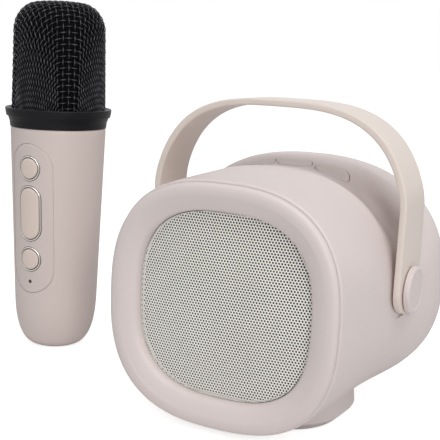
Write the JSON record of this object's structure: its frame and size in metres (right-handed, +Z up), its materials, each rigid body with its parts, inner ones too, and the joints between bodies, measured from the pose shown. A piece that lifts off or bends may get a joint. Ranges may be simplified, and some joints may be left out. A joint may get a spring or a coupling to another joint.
{
  "type": "karaoke speaker with microphone",
  "caption": "Rounded-square karaoke speaker with perforated front grille, arched carry handle and top buttons, with an upright wireless microphone.",
  "frame": {"origin": "centre of the resting face under the speaker's foot", "axes": "+X to the right seen from the front, +Y to the back, +Z up; the grille faces -Y"},
  "size_m": [0.1974, 0.0992, 0.156],
  "materials": {
    "housing_plastic": "soft matte",
    "handle_plastic": "satin",
    "grille_metal": "satin paint",
    "black_plastic": "matte",
    "black_metal": "satin black",
    "button_plastic": "matte",
    "trim_metal": "bright",
    "rubber": "matte",
    "foam": "open foam",
    "paper": "pressed paper cone",
    "board": "solder mask",
    "steel": "plated",
    "copper": "wound wire",
    "ferrite": "sintered",
    "cell_wrap": "shrink wrap",
    "chip": "moulded",
    "lens": "smoked"
  },
  "bodies": {
    "speaker_housing": {"front_bezel": "housing_plastic", "speaker_grille": "grille_metal", "main_shell": "housing_plastic", "rear_cover": "housing_plastic", "rear_cover_screws": "steel", "driver_baffle": "black_plastic", "baffle_screws": "steel", "driver_basket": "black_metal", "driver_screws": "steel", "driver_magnet": "ferrite", "driver_surround": "rubber", "driver_spider": "foam", "handle_pins": "steel", "left_handle_cap": "housing_plastic", "right_handle_cap": "housing_plastic", "button_board": "board", "button_board_screws": "steel", "tact_switches": "chip", "base_foot": "housing_plastic", "foot_pad": "rubber", "foot_screws": "steel", "port_panel": "black_plastic", "usb_c_socket": "steel", "aux_socket": "black_plastic", "card_slot": "steel", "main_board": "board", "main_board_screws": "steel", "board_chips": "chip", "battery_cell": "cell_wrap", "battery_cradle": "black_plastic"},
    "handle": {"handle_strap": "handle_plastic"},
    "volume_down_key": {"volume_down_button": "housing_plastic"},
    "play_key": {"play_button": "housing_plastic"},
    "volume_up_key": {"volume_up_button": "housing_plastic"},
    "cone_assembly": {"driver_cone": "paper", "voice_coil": "copper", "dust_cap": "paper"},
    "microphone": {"mic_shell": "housing_plastic", "mic_control_panel": "housing_plastic", "mic_button_rings": "trim_metal", "mic_led_lens": "lens", "mic_chassis": "black_plastic", "mic_board": "board", "mic_tact_switches": "chip", "mic_battery": "cell_wrap", "mic_collar": "black_plastic", "mic_head_mesh": "black_metal", "mic_foam_liner": "foam", "mic_capsule_holder": "rubber", "mic_capsule": "steel", "mic_usb_socket": "steel"},
    "mic_power_key": {"mic_power_button": "button_plastic"},
    "mic_mode_key": {"mic_mode_button": "button_plastic"},
    "mic_volume_key": {"mic_volume_rocker": "button_plastic"}
  },
  "joints": [
    {"name": "handle_swing", "type": "hinge", "parent": "speaker_housing", "child": "handle", "pos_m": [0, 0.009, 0.053], "axis": [1, 0, 0], "range_deg": [-2, 42]},
    {"name": "volume_down_press", "type": "slide", "parent": "speaker_housing", "child": "volume_down_key", "axis": [0, 0, -1], "range_m": [0, 0.0008], "stiffness_N_per_m": 1500},
    {"name": "play_press", "type": "slide", "parent": "speaker_housing", "child": "play_key", "axis": [0, 0, -1], "range_m": [0, 0.0008], "stiffness_N_per_m": 1500},
    {"name": "volume_up_press", "type": "slide", "parent": "speaker_housing", "child": "volume_up_key", "axis": [0, 0, -1], "range_m": [0, 0.0008], "stiffness_N_per_m": 1500},
    {"name": "cone_excursion", "type": "slide", "parent": "speaker_housing", "child": "cone_assembly", "axis": [0, -1, 0], "range_m": [-0.001, 0.001], "stiffness_N_per_m": 1200},
    {"name": "mic_lift", "type": "slide", "parent": "speaker_housing", "child": "microphone", "axis": [0, 0, 1], "range_m": [0, 0.2]},
    {"name": "mic_power_press", "type": "slide", "parent": "microphone", "child": "mic_power_key", "axis": [0, 1, 0], "range_m": [0, 0.0006], "stiffness_N_per_m": 1500},
    {"name": "mic_mode_press", "type": "slide", "parent": "microphone", "child": "mic_mode_key", "axis": [0, 1, 0], "range_m": [0, 0.0006], "stiffness_N_per_m": 1500},
    {"name": "mic_volume_tilt", "type": "hinge", "parent": "microphone", "child": "mic_volume_key", "pos_m": [-0.1165, -0.0024, 0.063], "axis": [1, 0, 0], "range_deg": [-2, 2], "stiffness_Nm_per_rad": 0.3}
  ]
}
